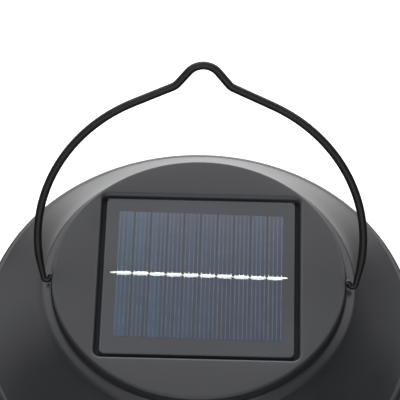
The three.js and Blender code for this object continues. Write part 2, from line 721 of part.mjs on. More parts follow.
const nut = { radius: 3.2, height: 2.4 };
for (let i = 0; i < 4; i += 1) {
  const { x, y } = onRing(POST.ring, 45 + 90 * i);
  const low = BASE.deck + SKIN;
  const high = plateBottom - SKIN;
  const post = turned([
    [0, BASE.deck - BASE.wall - nut.height - 1.2],
    [POST.radius - 0.3, BASE.deck - BASE.wall - nut.height - 1.2],
    [POST.radius - 0.3, low],
    [POST.collar, low],
    [POST.collar, low + POST.collarHeight],
    [POST.radius, low + POST.collarHeight + 1],
    [POST.radius, high - POST.collarHeight - 1],
    [POST.collar, high - POST.collarHeight],
    [POST.collar, high],
    [POST.radius - 0.3, high],
    [POST.radius - 0.3, high + POST.thread],
    [0, high + POST.thread],
  ], SMALL);
  add(`cage_post_${i + 1}`, at(x, y, 0, post), 'wire');
  const nutTop = BASE.deck - BASE.wall - SKIN;
  const hexagon = ring(POST.radius - 0.3 + CLEARANCE, nut.radius, nutTop - nut.height, nutTop, 6);
  add(`post_nut_${i + 1}`, at(x, y, 0, hexagon), 'steel');
}

// ---------------------------------------------------------------- base
function baseDish() {
  const shoulder = 4;
  const dish = turned([
    [0, BASE.deck],
    [BASE.radius - shoulder, BASE.deck],
    ...arc(BASE.radius - shoulder, BASE.deck - shoulder, shoulder, shoulder, 90, 0, 3).slice(1),
    [BASE.radius - 0.5, FOOT.height],
    [BASE.coverRadius + CLEARANCE, FOOT.height],
    [BASE.coverRadius + CLEARANCE, coverTop + SKIN],
    [BASE.step, coverTop + SKIN],
    [BASE.step, BASE.deck - BASE.wall],
    [0, BASE.deck - BASE.wall],
  ]);
  const holes = [];
  for (let i = 0; i < 4; i += 1) {
    const { x, y } = onRing(POST.ring, 45 + 90 * i);
    holes.push(at(x, y, 0, drum(POST.radius + 0.1, BASE.deck - BASE.wall - 1, BASE.deck + 1)));
  }
  return cut(joined(dish, lensRings(BASE.deck - 0.5, BASE.deck + LENS.ringHeight)), holes);
}

add('base_dish', baseDish(), 'capPlastic');
add('base_cover', drum(BASE.coverRadius, FOOT.height, coverTop, SEGMENTS), 'capPlastic');
for (let i = 0; i < FOOT.count; i += 1) {
  const { x, y } = onRing(FOOT.ring, 90 + (360 / FOOT.count) * i);
  const foot = turned([
    [0, 0],
    [FOOT.radius - 0.8, 0],
    [FOOT.radius, 0.8],
    [FOOT.radius, FOOT.height - SKIN],
    [0, FOOT.height - SKIN],
  ], MIDDLE);
  add(`rubber_foot_${i + 1}`, at(x, y, 0, foot), 'rubber');
}

export default lantern;
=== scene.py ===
"""The looks of a hanging solar garden lantern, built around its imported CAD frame.

The pieces that show are rebuilt with fine surfaces on the CAD parts' places. Profiles are in
millimetres above the ground and from the lantern's axis, and Blender objects are in metres.
"""
import math
import random

import bmesh
import bpy
from mathutils import Matrix, Vector
from mathutils import noise as value_noise


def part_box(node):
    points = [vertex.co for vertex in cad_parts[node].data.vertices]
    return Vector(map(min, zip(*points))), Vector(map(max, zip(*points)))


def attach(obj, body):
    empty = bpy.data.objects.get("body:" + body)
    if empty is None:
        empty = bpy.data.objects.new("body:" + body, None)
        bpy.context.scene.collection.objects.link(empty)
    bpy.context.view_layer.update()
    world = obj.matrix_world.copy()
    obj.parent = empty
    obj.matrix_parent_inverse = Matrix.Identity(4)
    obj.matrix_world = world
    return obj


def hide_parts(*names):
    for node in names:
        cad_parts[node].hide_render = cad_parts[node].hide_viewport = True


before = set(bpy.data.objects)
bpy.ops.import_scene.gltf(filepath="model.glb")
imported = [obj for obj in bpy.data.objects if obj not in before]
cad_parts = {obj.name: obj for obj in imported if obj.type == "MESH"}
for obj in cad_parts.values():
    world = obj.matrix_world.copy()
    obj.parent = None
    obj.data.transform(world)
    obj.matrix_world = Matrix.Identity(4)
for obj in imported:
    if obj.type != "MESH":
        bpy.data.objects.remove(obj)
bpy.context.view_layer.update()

MM = 0.001
ROUND = 256  # facets round the large parts
SMALL_ROUND = 48  # facets round screws, feet and posts
SHARP = math.radians(32)

# ---------------------------------------------------------------- places, from the frame
def low(node):
    """The lowest corner of a CAD node's box, in millimetres."""
    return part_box(node)[0] / MM


def high(node):
    """The highest corner of a CAD node's box, in millimetres."""
    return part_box(node)[1] / MM


DISC_TOP = high("panel_bezel").z
DISC_RADIUS = high("panel_bezel").x
BEZEL_BOTTOM = low("panel_bezel").z
PANEL_TOP = high("panel_laminate").z
PANEL_BOTTOM = low("panel_laminate").z
PANEL_HALF = high("panel_laminate").x
PANEL_Y = (high("panel_laminate").y + low("panel_laminate").y) / 2
SKIRT_BOTTOM = low("top_cap").z
BRIM_RADIUS = high("top_cap").x
HINGE = DISC_TOP - 1.9
PLATE_RADIUS = high("cap_underplate").x
PLATE_BOTTOM = SKIRT_BOTTOM + 0.3
LENS_LOW = low("lens_tube").z
LENS_HIGH = high("lens_tube").z
LENS_RADIUS = high("lens_tube").x
BASE_RADIUS = high("base_dish").x
DECK = low("lens_seal_bottom").z
FOOT_HEIGHT = high("rubber_foot_1").z
HAIR = 0.03  # gap left between pieces that rest on each other


def below(depth):
    """The height of a point so far below the flat top."""
    return DISC_TOP - depth


# ---------------------------------------------------------------- outlines
def corner_arc(before, corner, after, radius):
    """Points on the round that replaces a corner of an outline."""
    corner = Vector(corner)
    back = (Vector(before) - corner).normalized()
    ahead = (Vector(after) - corner).normalized()
    half = back.angle(ahead) / 2
    if radius <= 0 or half > math.radians(89):
        return [corner]
    reach = radius / math.tan(half)
    centre = corner + (back + ahead).normalized() * (radius / math.sin(half))
    start = corner + back * reach - centre
    end = corner + ahead * reach - centre
    turn = start.angle_signed(end)
    steps = max(3, int(abs(turn) / math.radians(9)))
    return [centre + Matrix.Rotation(-turn * i / steps, 2) @ start for i in range(steps + 1)]


def rounded(outline):
    """An open outline of (r, z) and (r, z, corner radius) points, with its corners rounded."""
    points = [Vector(outline[0][:2])]
    for before, corner, after in zip(outline, outline[1:], outline[2:]):
        radius = corner[2] if len(corner) > 2 else 0
        points += corner_arc(before[:2], corner[:2], after[:2], radius)
    points.append(Vector(outline[-1][:2]))
    return points


def arc(cx, cz, rx, rz, start, end, steps):
    """Points on an elliptical arc, angles in degrees."""
    points = []
    for i in range(steps + 1):
        angle = math.radians(start + (end - start) * i / steps)
        points.append(Vector((cx + rx * math.cos(angle), cz + rz * math.sin(angle))))
    return points


def bend(start, control, end, steps):
    """Points on a quadratic curve."""
    start, control, end = Vector(start), Vector(control), Vector(end)
    points = []
    for i in range(steps + 1):
        t = i / steps
        points.append(start * (1 - t) ** 2 + control * (2 * t * (1 - t)) + end * t ** 2)
    return points


def on_ring(radius, angle):
    """x and y of a point on a ring, angle in degrees."""
    return radius * math.cos(math.radians(angle)), radius * math.sin(math.radians(angle))


# ---------------------------------------------------------------- mesh builders
def mark_edges(mesh):
    """Smooth shading, with the edges that are sharper than SHARP kept crisp."""
    shape = bmesh.new()
    shape.from_mesh(mesh)
    bmesh.ops.remove_doubles(shape, verts=shape.verts, dist=1e-7)
    bmesh.ops.recalc_face_normals(shape, faces=shape.faces)
    for face in shape.faces:
        face.smooth = True
    for edge in shape.edges:
        edge.smooth = len(edge.link_faces) != 2 or edge.calc_face_angle(0) < SHARP
    shape.to_mesh(mesh)
    shape.free()


def make_object(name, verts, faces):
    """An object from points in millimetres."""
    mesh = bpy.data.meshes.new(name)
    mesh.from_pydata([Vector(v) * MM for v in verts], [], faces)
    mark_edges(mesh)
    piece = bpy.data.objects.new(name, mesh)
    bpy.context.scene.collection.objects.link(piece)
    return piece


def lathe(name, outline, x=0, y=0, segments=ROUND):
    """A solid of revolution. The outline starts and ends on the axis, or closes on itself."""
    outline = [Vector(p[:2]) for p in outline]
    closed = (outline[0] - outline[-1]).length < 1e-6
    if closed:
        outline = outline[:-1]
    verts, rows = [], []
    for r, z in outline:
        if r < 1e-6:
            rows.append([len(verts)] * segments)
            verts.append((x, y, z))
            continue
        rows.append(list(range(len(verts), len(verts) + segments)))
        for i in range(segments):
            angle = 2 * math.pi * i / segments
            verts.append((x + r * math.cos(angle), y + r * math.sin(angle), z))
    faces = []
    pairs = list(zip(rows, rows[1:])) + ([(rows[-1], rows[0])] if closed else [])
    for lower, upper in pairs:
        for i in range(segments):
            j = (i + 1) % segments
            face = list(dict.fromkeys((lower[i], lower[j], upper[j], upper[i])))
            if len(face) > 2:
                faces.append(face)
    return make_object(name, verts, faces)


def ring_piece(name, inner, outer, bottom, top, edge):
    """A flat ring with rounded edges."""
    middle = (inner + outer) / 2
    outline = [(middle, bottom), (outer, bottom, edge), (outer, top, edge), (inner, top, edge),
               (inner, bottom, edge), (middle, bottom)]
    return lathe(name, rounded(outline))


def square_point(angle, half, corner):
    """The point of a rounded square's outline in a given direction from its middle."""
    folded = abs((angle + math.pi / 4) % (math.pi / 2) - math.pi / 4)
    inset = half - corner
    if half * math.tan(folded) <= inset:
        reach = half / math.cos(folded)
    else:
        both = inset * (math.cos(folded) + math.sin(folded))
        reach = both + math.sqrt(both * both - 2 * inset * inset + corner * corner)
    return reach * math.cos(angle), reach * math.sin(angle)


def corner_angles():
    """Directions round a circle, closer together where a rounded square has its corners."""
    quarter = [i * 3.5 for i in range(12)] + [42 + i * 0.5 for i in range(12)]
    quarter += [48 + i * 3.5 for i in range(12)]
    return [math.radians(90 * q + a) for q in range(4) for a in quarter]


def loft(name, rows):
    """A solid through rows of (outline function of an angle, height), closed at both ends."""
    angles = corner_angles()
    verts = []
    for outline, z in rows:
        verts += [(*outline(a), z) for a in angles]
    count = len(angles)
    faces = []
    for row in range(len(rows) - 1):
        for i in range(count):
            j = (i + 1) % count
            lower, upper = row * count, (row + 1) * count
            faces.append((lower + i, lower + j, upper + j, upper + i))
    faces.append(tuple(reversed(range(count))))
    faces.append(tuple(range(len(verts) - count, len(verts))))
    return make_object(name, verts, faces)


def circle(radius):
    """A circle, as an outline function of an angle."""
    return lambda angle: (radius * math.cos(angle), radius * math.sin(angle))


def square(half, corner, y, trim=0):
    """A rounded square, moved along Y, and shorter along Y by trim at each side."""
    def outline(angle):
        px, py = square_point(angle, half, corner)
        return px, y + py * (half - trim) / half
    return outline


def rounded_box(name, size, centre, edge):
    """A box with rounded edges."""
    shape = bmesh.new()
    bmesh.ops.create_cube(shape, size=1, matrix=Matrix.Diagonal((*size, 1)))
    bmesh.ops.bevel(shape, geom=shape.edges[:], offset=edge, segments=3, profile=0.5, affect="EDGES")
    bmesh.ops.translate(shape, verts=shape.verts, vec=centre)
    verts = [v.co.copy() for v in shape.verts]
    faces = [[v.index for v in f.verts] for f in shape.faces]
    shape.free()
    return make_object(name, verts, faces)


def tube(name, path, radii, sides):
    """A round wire along a path, with domed ends and one radius, or one for each point."""
    path = [Vector(p) for p in path]
    if not isinstance(radii, list):
        radii = [radii] * len(path)
    first = (path[1] - path[0]).normalized()
    across = first.orthogonal().normalized()
    rings = []
    for i, point in enumerate(path):
        ahead = (path[min(i + 1, len(path) - 1)] - path[max(i - 1, 0)]).normalized()
        across = (across - ahead * across.dot(ahead)).normalized()
        rings.append((point, across.copy(), ahead.cross(across), radii[i]))
    domes = [(0.35, 0.94), (0.7, 0.71), (0.94, 0.34)]
    last = (path[-1] - path[-2]).normalized()
    head, foot = [], []
    for out, share in domes:
        head.insert(0, (path[0] - first * radii[0] * out, *rings[0][1:3], radii[0] * share))
        foot.append((path[-1] + last * radii[-1] * out, *rings[-1][1:3], radii[-1] * share))
    rings = head + rings + foot
    verts = []
    for point, u, v, size in rings:
        for k in range(sides):
            angle = 2 * math.pi * k / sides
            verts.append(point + (u * math.cos(angle) + v * math.sin(angle)) * size)
    faces = []
    for row in range(len(rings) - 1):
        for k in range(sides):
            n = (k + 1) % sides
            faces.append((row * sides + k, row * sides + n, (row + 1) * sides + n, (row + 1) * sides + k))
    faces.append(tuple(reversed(range(sides))))
    faces.append(tuple(range(len(verts) - sides, len(verts))))
    return make_object(name, verts, faces)


def combine(name, parts):
    """Several objects made into one, which keeps the materials that they have."""
    bpy.ops.object.select_all(action="DESELECT")
    for part in parts:
        part.select_set(True)
    bpy.context.view_layer.objects.active = parts[0]
    bpy.ops.object.join()
    parts[0].name = name
    return parts[0]


def carve(piece, cutters):
    """Cuts other objects out of a piece, and removes them."""
    for cutter in cutters:
        step = piece.modifiers.new("carve", "BOOLEAN")
        step.operation = "DIFFERENCE"
        step.solver = "EXACT"
        step.object = cutter
    graph = bpy.context.evaluated_depsgraph_get()
    result = bpy.data.meshes.new_from_object(piece.evaluated_get(graph))
    piece.modifiers.clear()
    piece.data = result
    mark_edges(result)
    for cutter in cutters:
        bpy.data.objects.remove(cutter)
    return piece


def drill(x, y, radius, bottom, top):
    """An upright cutter for a round hole."""
    return lathe("drill", [(0, bottom), (radius, bottom), (radius, top), (0, top)], x, y, SMALL_ROUND)


# ---------------------------------------------------------------- materials
def node_tree(name):
    """A new material, its nodes and its main shader."""
    material = bpy.data.materials.new(name)
    material.use_nodes = True
    tree = material.node_tree
    return material, tree, tree.nodes["Principled BSDF"]


def noise_node(tree, scale, detail=3, stretch=(1, 1, 1)):
    """Noise over the object's own metres, so its grain has a real size."""
    place = tree.nodes.new("ShaderNodeTexCoord")
    mapping = tree.nodes.new("ShaderNodeMapping")
    mapping.inputs["Scale"].default_value = stretch
    noise = tree.nodes.new("ShaderNodeTexNoise")
    noise.inputs["Scale"].default_value = scale
    noise.inputs["Detail"].default_value = detail
    tree.links.new(place.outputs["Object"], mapping.inputs["Vector"])
    tree.links.new(mapping.outputs["Vector"], noise.inputs["Vector"])
    return noise.outputs["Fac"]


def shades(tree, factor, dark, light, socket, spread=0.25):
    """Lets a colour wander between two close shades."""
    ramp = tree.nodes.new("ShaderNodeValToRGB")
    ramp.color_ramp.elements[0].position = 0.5 - spread
    ramp.color_ramp.elements[1].position = 0.5 + spread
    ramp.color_ramp.elements[0].color = (*dark, 1)
    ramp.color_ramp.elements[1].color = (*light, 1)
    tree.links.new(factor, ramp.inputs["Fac"])
    tree.links.new(ramp.outputs["Color"], socket)


def vary(tree, factor, least, most, socket):
    """Maps noise onto a range of values, such as roughness."""
    span = tree.nodes.new("ShaderNodeMapRange")
    span.inputs["From Min"].default_value = 0.3
    span.inputs["From Max"].default_value = 0.7
    span.inputs["To Min"].default_value = least
    span.inputs["To Max"].default_value = most
    tree.links.new(factor, span.inputs["Value"])
    tree.links.new(span.outputs["Result"], socket)


def bump(tree, shader, factor, height, strength=1.0):
    """A relief with a height in metres."""
    relief = tree.nodes.new("ShaderNodeBump")
    relief.inputs["Strength"].default_value = strength
    relief.inputs["Distance"].default_value = height
    tree.links.new(factor, relief.inputs["Height"])
    tree.links.new(relief.outputs["Normal"], shader.inputs["Normal"])


def surface(name, dark, light, rough, grain=900, relief=0.00001, patch=40, metal=0.0, specular=0.5):
    """A solid material: colour and gloss that vary a little, and a fine grain."""
    material, tree, shader = node_tree(name)
    shader.inputs["Metallic"].default_value = metal
    shader.inputs["Specular IOR Level"].default_value = specular
    patches = noise_node(tree, patch)
    fine = noise_node(tree, grain, 2)
    shades(tree, patches, dark, light, shader.inputs["Base Color"])
    vary(tree, patches, rough * 0.92, rough * 1.08, shader.inputs["Roughness"])
    bump(tree, shader, fine, relief)
    return material


def clear_plastic(name, tint, rough, ior=1.49):
    """Clear moulded plastic with faint swirls."""
    material, tree, shader = node_tree(name)
    shader.inputs["Transmission Weight"].default_value = 1.0
    shader.inputs["IOR"].default_value = ior
    swirl = noise_node(tree, 30)
    shades(tree, swirl, [c * 0.985 for c in tint], tint, shader.inputs["Base Color"])
    vary(tree, swirl, rough, rough * 1.5, shader.inputs["Roughness"])
    bump(tree, shader, noise_node(tree, 14), 0.00004, 0.4)
    return material


def silicon(name, left, right):
    """Blue-grey silicon under a clear coat, with fine streaks along the strip."""
    material, tree, shader = node_tree(name)
    shader.inputs["Coat Weight"].default_value = 0.5
    shader.inputs["Coat Roughness"].default_value = 0.3
    streaks = noise_node(tree, 420, 3, (1, 0.03, 1))
    shades(tree, streaks, left, right, shader.inputs["Base Color"], 0.2)
    vary(tree, streaks, 0.38, 0.5, shader.inputs["Roughness"])
    bump(tree, shader, noise_node(tree, 1500, 2), 0.000004)
    return material


PLASTIC = surface("cap_plastic_satin", (0.0225, 0.0235, 0.0275), (0.028, 0.029, 0.033), 0.34,
                  grain=1500, relief=0.00001)
BEZEL = surface("bezel_plastic_satin", (0.0235, 0.0245, 0.028), (0.029, 0.030, 0.0335), 0.4,
                grain=1700, relief=0.00001)
BACKING = surface("panel_black_backing", (0.034, 0.036, 0.044), (0.043, 0.045, 0.054), 0.34,
                  grain=1200, relief=0.000004)
# The pocket's sealant is painted lighter than the bezel: painted light that brightens the shaded gap round
# the panel.
SEALANT_WITH_PAINTED_LIGHT = surface("pocket_sealant_painted_light", (0.034, 0.035, 0.04), (0.045, 0.046, 0.052), 0.8,
                  grain=1100, relief=0.00004, specular=0.1)
WIRE_BLACK = surface("wire_black_coat", (0.006, 0.0063, 0.007), (0.011, 0.0115, 0.0125), 0.36,
                     grain=700, relief=0.00003, patch=160, specular=0.3)
RUBBER = surface("rubber_black", (0.012, 0.012, 0.012), (0.02, 0.02, 0.02), 0.75, grain=2200, relief=0.00003)
SOLDER = surface("solder_tinned", (0.72, 0.73, 0.74), (0.92, 0.92, 0.92), 0.34,
                 grain=1400, relief=0.00008, patch=600, metal=1.0)
FINGER = surface("silver_finger", (0.04, 0.068, 0.105), (0.085, 0.112, 0.16), 0.5, patch=220)
STEEL = surface("steel_zinc", (0.5, 0.51, 0.52), (0.66, 0.67, 0.68), 0.3,
                grain=2600, relief=0.000006, metal=1.0)
BRASS = surface("brass_satin", (0.55, 0.42, 0.2), (0.66, 0.52, 0.27), 0.3,
                grain=2600, relief=0.000006, metal=1.0)
PHOSPHOR = surface("phosphor_yellow", (0.72, 0.42, 0.06), (0.86, 0.55, 0.1), 0.6,
                   grain=2400, relief=0.00004)
MASK_GREEN = surface("circuit_green", (0.008, 0.075, 0.03), (0.012, 0.11, 0.045), 0.35,
                     grain=900, relief=0.00002)
WRAP = surface("cell_shrink_wrap", (0.02, 0.14, 0.38), (0.03, 0.18, 0.46), 0.3,
               grain=300, relief=0.00004)
MOULDING = surface("black_moulding", (0.012, 0.012, 0.013), (0.02, 0.02, 0.021), 0.5, grain=1400)
COPPER = surface("copper_enamel", (0.36, 0.13, 0.04), (0.48, 0.19, 0.07), 0.3, grain=1800, relief=0.00006)
LEAD_RED = surface("lead_red", (0.38, 0.02, 0.015), (0.46, 0.03, 0.02), 0.45)
LEAD_BLACK = surface("lead_black", (0.015, 0.015, 0.015), (0.022, 0.022, 0.022), 0.45)
CLEAR = clear_plastic("clear_acrylic", (0.985, 0.99, 0.99), 0.015)
BULB = clear_plastic("clear_bulb", (0.99, 0.99, 0.985), 0.01, 1.46)


def dress(piece, material):
    """Gives a piece one material."""
    piece.data.materials.clear()
    piece.data.materials.append(material)
    return piece


def place(piece, material, body, slot, *nodes):
    """Gives a new piece its material and its body, and hides the CAD nodes that it stands for."""
    if material is not None:
        dress(piece, material)
    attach(piece, body)
    if nodes:
        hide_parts(*nodes)
    return piece


# ---------------------------------------------------------------- cap
NECK = DISC_RADIUS + 0.2
FLARE_TOP = Vector((53.3, below(5.8)))
CREASE = Vector((BRIM_RADIUS - 2.35, below(26.2)))
LIP = Vector((BRIM_RADIUS, below(29.1)))
BOSS_RING = 65.0
SHOULDER = Vector((53.15, below(5.43)))  # where the ring round the bezel turns down to the flare
STEP_RADIUS = 71.2
STEP = below(36.6)
SKIRT_INNER = 73
LEDGE = 44  # inner edge of the shelf under the bezel
LEDGE_TOP = below(7.1)
LEDGE_BOTTOM = below(9.3)


def cap_outline():
    """The shell's section: a soft sloping ring round the bezel, a flare and a rounded brim."""
    ledge = Vector((NECK, LEDGE_TOP))
    ring_top = Vector((NECK, below(3.7)))
    ring_foot = Vector((NECK + 0.25, below(4.5)))
    flare = bend(FLARE_TOP, FLARE_TOP + Vector((2.2, -5.6)), CREASE, 24)
    lip = arc(CREASE.x, LIP.y, LIP.x - CREASE.x, CREASE.y - LIP.y, 90, 0, 14)
    inside = bend((STEP_RADIUS, below(29)), (55.9, below(13.6)), (53.1, LEDGE_BOTTOM), 12)
    outline = [ledge, ring_top]
    outline += corner_arc(ring_top, ring_foot, SHOULDER, 1.0)
    outline += corner_arc(ring_foot, SHOULDER, flare[1], 2.2)
    outline += flare[2:-3] + corner_arc(flare[-3], CREASE, lip[3], 0.35) + lip[3:]
    outline += corner_arc(lip[-1], (LIP.x - 0.4, SKIRT_BOTTOM), (SKIRT_INNER, SKIRT_BOTTOM), 0.6)
    outline += [Vector((SKIRT_INNER, SKIRT_BOTTOM)), Vector((SKIRT_INNER, STEP))]
    outline += [Vector((STEP_RADIUS, STEP))] + inside
    outline += [Vector((LEDGE, LEDGE_BOTTOM)), Vector((LEDGE, LEDGE_TOP)), ledge]
    return outline


place(lathe("cap_shell", cap_outline(), segments=320), PLASTIC, "root", "cap_plastic", "top_cap")

# ---------------------------------------------------------------- bezel
POCKET_HALF = 34.1
POCKET_TRIM = 0.4
POCKET_Y = 0.4
POCKET_CORNER = 2.4
POCKET_FLOOR = below(3.9)
SEALANT_AND_PAINTED_LIGHT_SPAN = (below(4.2), below(2.6))  # heights between which the pocket is coated with sealant, painted lighter than the disc as painted light in the shaded gap round the panel
GLUE_SINK = 0.9  # how far the glue behind the panel lies below the panel's face
HINGE_HOLE = {"radius": 1.35, "start": 46.2, "depth": 5}


def pocket_row(offset, z):
    """The pocket's outline, grown by the offset, at a height."""
    return square(POCKET_HALF + offset, POCKET_CORNER + offset, POCKET_Y, POCKET_TRIM), z


def glue_behind():
    """Glue that has squeezed up into the narrow gap behind the panel."""
    front = PANEL_Y + PANEL_HALF + 0.08
    back = POCKET_Y + POCKET_HALF + 0.15
    bottom = POCKET_FLOOR - 0.2
    size = (2 * POCKET_HALF - 3, back - front, PANEL_TOP - GLUE_SINK - bottom)
    return rounded_box("bead", size, (0, (front + back) / 2, bottom + size[2] / 2), 0.3)


def hinge_hole(side):
    """A level cutter for the hole that takes one tail of the handle."""
    radius, depth = HINGE_HOLE["radius"], HINGE_HOLE["depth"]
    hole = lathe("hole", [(0, 0), (radius, 0), (radius, depth), (0, depth)], segments=SMALL_ROUND)
    spot = Matrix.Translation((side * HINGE_HOLE["start"] * MM, 0, HINGE * MM))
    hole.matrix_world = spot @ Matrix.Rotation(side * math.pi / 2, 4, "Y")
    return hole


def bezel():
    """The round disc with its square pocket, whose floor and lower walls are coated with sealant that is
    painted lighter, as painted light in the shaded gap round the panel.
    """
    foot = 0.4
    edge = 1.0
    mouth = 1.5
    heel = 0.8
    rows = [(circle(DISC_RADIUS - foot), BEZEL_BOTTOM), (circle(DISC_RADIUS), BEZEL_BOTTOM + foot)]
    for r, z in arc(DISC_RADIUS - edge, DISC_TOP - edge, edge, edge, 0, 90, 6):
        rows.append((circle(r), z))
    for out, z in arc(mouth, DISC_TOP - mouth, mouth, mouth, 90, 180, 7):
        rows.append(pocket_row(out, z))
    for inward, z in arc(heel, POCKET_FLOOR + heel, heel, heel, 180, 270, 5):
        rows.append(pocket_row(-inward, z))
    disc = loft("bezel_disc", rows)
    holes = [hinge_hole(side) for side in (-1, 1)]
    bpy.context.view_layer.update()
    disc = carve(disc, holes)
    dress(disc, BEZEL)
    disc.data.materials.append(SEALANT_WITH_PAINTED_LIGHT)
    # The lighter sealant colour on the pocket's floor and lower walls is painted light in the shaded gap.
    for face in disc.data.polygons:
        middle = face.center / MM
        if max(abs(middle.x), abs(middle.y)) < POCKET_HALF and SEALANT_AND_PAINTED_LIGHT_SPAN[0] < middle.z < SEALANT_AND_PAINTED_LIGHT_SPAN[1]:
            face.material_index = 1
    return combine("bezel", [disc, dress(glue_behind(), BEZEL)])


place(bezel(), None, "root", "bezel_plastic", "panel_bezel")

# ---------------------------------------------------------------- solar panel
CELL_COUNT = 10
CELL_PITCH = 5.7
CELL_WIDTH = 5.2
CELL_MIDDLE = (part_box("cell_strip_1")[0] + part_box("cell_strip_10")[1]) / 2 / MM
CELL_LENGTH = (high("cell_strip_1") - low("cell_strip_1")).y
FINGERS = 4
FINGER_WIDTH = 0.42
FINGER_MARGIN = 0.3  # from the end of a finger to the end of its strip
FINGER_HEIGHT = 0.03
STRIP_THICKNESS = 0.05
STRIP_START = 0.1  # how far the first strip lies behind the middle
STRIP_DRIFT = 0.08  # each strip lies a little nearer the front than the one on its left
SILICON_LEFT = Vector((0.013, 0.04, 0.082))
SILICON_RIGHT = Vector((0.01, 0.015, 0.048))
CELL_FACE = PANEL_TOP + 0.02
PANEL_CORNER = 1.8
RIBBON_WIDTH = 1.45
RIBBON_HEIGHT = 0.24
RIBBON_DRIFT = 0.03  # the solder drifts nearer the front by this much more at each strip
TICK = {"width": 0.34, "height": 0.07, "least": 2.0, "spread": 1.2}
TIP = {"width": 0.7, "height": 0.16}


def panel_face():
    """The panel's black slab: its edge is rounded, and its corners have a small radius."""
    edge = 0.4
    rows = [(square(PANEL_HALF, PANEL_CORNER, PANEL_Y), PANEL_BOTTOM)]
    for inward, z in arc(edge, PANEL_TOP - edge, edge, edge, 180, 90, 5):
        rows.append((square(PANEL_HALF - inward, PANEL_CORNER - inward * 0.6, PANEL_Y), z))
    return loft("panel_slab", rows)


def flat_box(width, length, thickness, x, y, bottom):
    """A thin slab, placed by its middle and its underside."""
    return rounded_box("slab", (width, length, thickness), (x, y, bottom + thickness / 2), thickness * 0.2)


def cell_shades(index):
    """Strips go from teal on the left to violet grey on the right, and no two are alike."""
    across = index / (CELL_COUNT - 1)
    drift = 0.9 + 0.2 * value_noise.noise(Vector((index * 1.7, 3.1, 0)))
    shade = SILICON_LEFT.lerp(SILICON_RIGHT, across) * drift
    return tuple(shade * 0.55), tuple(shade * 1.4)


def finger_places(x):
    """Where the fingers of a strip lie, from left to right."""
    return [x + (finger - (FINGERS - 1) / 2) * CELL_PITCH / FINGERS for finger in range(FINGERS)]


def cell_strip(index):
    """A strip of silicon with the fingers printed along it."""
    x = CELL_MIDDLE.x + (index - (CELL_COUNT - 1) / 2) * CELL_PITCH
    y = CELL_MIDDLE.y + STRIP_START - STRIP_DRIFT * index
    plate = flat_box(CELL_WIDTH, CELL_LENGTH, STRIP_THICKNESS, x, y, CELL_FACE - 0.03)
    parts = [dress(plate, silicon(f"silicon_{index + 1}", *cell_shades(index)))]
    length = CELL_LENGTH - 2 * FINGER_MARGIN
    for fx in finger_places(x):
        line = flat_box(FINGER_WIDTH, length, FINGER_HEIGHT, fx, y, CELL_FACE + 0.01)
        parts.append(dress(line, FINGER))
    strip = combine(f"cell_{index + 1}", parts)
    place(strip, None, "root", "silicon_cell", f"cell_strip_{index + 1}")
    return x, y


def solder_dash(x, y, length, width, height, seed):
    """A lump of solder along the ribbon, thick in the middle and drawn out at its ends."""
    columns, rows = 26, 8
    verts, faces = [], []
    for i in range(columns + 1):
        along = i / columns * 2 - 1
        taper = max(0.0, 1 - abs(along) ** 3.2) ** 0.5
        for j in range(rows + 1):
            across = j / rows * 2 - 1
            lump = 1 + 0.35 * value_noise.noise(Vector((seed * 9.3 + along * 4, across * 1.5, seed)))
            px = x + along * length / 2
            py = y + across * width / 2 * taper * lump
            pz = CELL_FACE + height * taper * math.sqrt(max(0.0, 1 - across * across)) * lump
            verts.append((px, py, pz))
    stride = rows + 1
    for i in range(columns):
        for j in range(rows):
            first = i * stride + j
            faces.append((first, first + stride, first + stride + 1, first + 1))
    for i in range(columns):
        left = i * stride
        faces.append((left, left + rows, left + stride + rows, left + stride))
    return make_object("dash", verts, faces)


def ribbon(centres):
    """Ten lumps of solder with drawn-out tips, and short ticks where they wet the fingers."""
    parts = []
    dice = random.Random(7)
    for index, (x, y) in enumerate(centres):
        seed = index + 1.0
        drifted = y - RIBBON_DRIFT * index
        parts.append(solder_dash(x, drifted, CELL_PITCH * 0.99, RIBBON_WIDTH, RIBBON_HEIGHT, seed))
        for finger, fx in enumerate(finger_places(x)):
            reach = TICK["least"] + dice.random() * TICK["spread"]
            parts.append(solder_dash(fx, y, TICK["width"], reach, TICK["height"], seed + finger * 0.37))
    first, last = centres[0], centres[-1]
    end_left = low("busbar_ribbon").x
    end_right = high("busbar_ribbon").x
    left_reach = first[0] - end_left
    right_reach = end_right - last[0]
    for x, y, reach, seed in (
            (end_left + left_reach / 2, first[1] + 0.12, left_reach, 21.0),
            (end_right - right_reach / 2, last[1] + 0.02, right_reach, 22.0)):
        parts.append(solder_dash(x, y, reach, TIP["width"], TIP["height"], seed))
    return combine("solder_ribbon", parts)


place(panel_face(), BACKING, "root", "panel_coating", "panel_laminate")
strip_centres = [cell_strip(index) for index in range(CELL_COUNT)]
place(ribbon(strip_centres), SOLDER, "root", "solder_ribbon", "busbar_ribbon")

# ---------------------------------------------------------------- wire handle
WIRE = 1.39
LEAN = math.radians(33)  # back from upright
PLAY = 0.3  # how far the handle has slid to the right in its holes
ARCH = {"half": 54.9, "rise": 52.8, "centre": 14.2}
CROWN = {"top": 75.5, "radius": 6.5, "flank": math.radians(49.5), "arm": math.radians(24), "kink": 4.4}
LEG = math.radians(-12)
TAIL = {"wire": 1.0, "taper_top": 8, "taper_foot": 1, "elbow_depth": 4, "elbow": 1.05,
        "corner": 50.55, "bend": 0.8, "end": 46.8}


def crossing(p, u, q, v):
    """Where the line through p along u meets the line through q along v."""
    gap = q - p
    return p + u * (gap.cross(v) / u.cross(v))


def on_arch(angle):
    """A point of the handle's arch, which is part of an ellipse."""
    return Vector((ARCH["half"] * math.cos(angle), ARCH["centre"] + ARCH["rise"] * math.sin(angle)))


